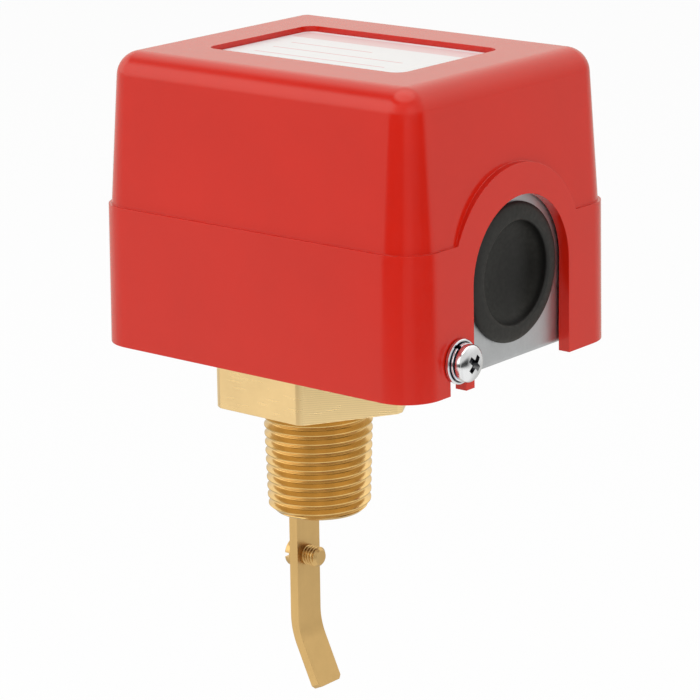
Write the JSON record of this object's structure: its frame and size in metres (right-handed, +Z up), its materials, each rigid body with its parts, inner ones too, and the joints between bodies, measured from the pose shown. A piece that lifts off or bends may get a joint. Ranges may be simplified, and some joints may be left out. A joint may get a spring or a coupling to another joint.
{
  "type": "paddle flow switch",
  "caption": "Paddle flow switch: boxy lift-off cover over a bracket-mounted snap switch, brass hexagon body with tapered pipe thread and a bent flat arm that swings with the flow.",
  "frame": {"origin": "on the pipe thread's axis at the underside of the brass hexagon, where the fitting's mouth comes", "axes": "-Z down the pipe thread into the pipe, +Z up through the cover, +X along the flow and to the cable entry"},
  "size_m": [0.0861, 0.064, 0.1311],
  "materials": {
    "cover_red": "gloss",
    "label_white": "satin",
    "galvanised": "satin",
    "black_rubber": "matte",
    "brass": "machined",
    "bronze": "satin",
    "steel": "satin",
    "zinc": "bright zinc",
    "switch_black": "satin",
    "plunger_red": "satin"
  },
  "bodies": {
    "base": {"brass_body": "brass", "body_gasket": "black_rubber", "bellows": "bronze", "pivot_bracket": "galvanised", "pivot_pin": "steel", "pin_clips": "steel", "chassis": "galvanised", "cable_grommet": "black_rubber", "earth_screw": "zinc", "earth_washer": "brass", "body_screws": "zinc", "cover_screws": "zinc", "cover_washers": "zinc", "cover_spring_washers": "zinc", "range_spring": "steel", "switch_bracket": "galvanised", "bracket_screws": "zinc", "switch_lid": "switch_black", "switch_case": "switch_black", "switch_terminals": "brass", "terminal_screws": "zinc", "switch_screws": "zinc", "switch_nuts": "zinc"},
    "cover": {"cover": "cover_red", "name_label": "label_white"},
    "paddle": {"paddle_stem": "brass", "lever_rod": "steel", "paddle_arm": "brass", "arm_rivets": "brass", "paddle_screw": "brass", "switch_lever": "galvanised", "rod_nut": "zinc"},
    "plunger": {"switch_plunger": "plunger_red"},
    "range_screw": {"range_screw": "zinc", "range_screw_ring": "steel"},
    "spring_seat": {"spring_seat": "brass"}
  },
  "joints": [
    {"name": "cover_lift", "type": "slide", "parent": "base", "child": "cover", "axis": [0, 0, 1], "range_m": [0, 0.07]},
    {"name": "paddle_swing", "type": "hinge", "parent": "base", "child": "paddle", "pos_m": [0, 0, 0.0215], "axis": [0, -1, 0], "range_deg": [0, 6], "stiffness_Nm_per_rad": 0.34, "springref_deg": -8.59, "deforming": ["range_spring", "bellows"]},
    {"name": "plunger_press", "type": "slide", "parent": "base", "child": "plunger", "axis": [0, 0, 1], "range_m": [0, 0.0022]},
    {"name": "range_screw_turn", "type": "hinge", "parent": "base", "child": "range_screw", "pos_m": [0.013, 0, 0.05], "axis": [0, 0, 1], "range_deg": [0, 1440]},
    {"name": "spring_seat_travel", "type": "slide", "parent": "base", "child": "spring_seat", "axis": [0, 0, -1], "range_m": [0, 0.0028], "deforming": ["range_spring"]}
  ],
  "couplings": [
    {"joint": "plunger_press", "follows": "paddle_swing", "m_per_rad": 0.02},
    {"joint": "range_screw_turn", "follows": "spring_seat_travel", "rad_per_m": 8975.9}
  ]
}
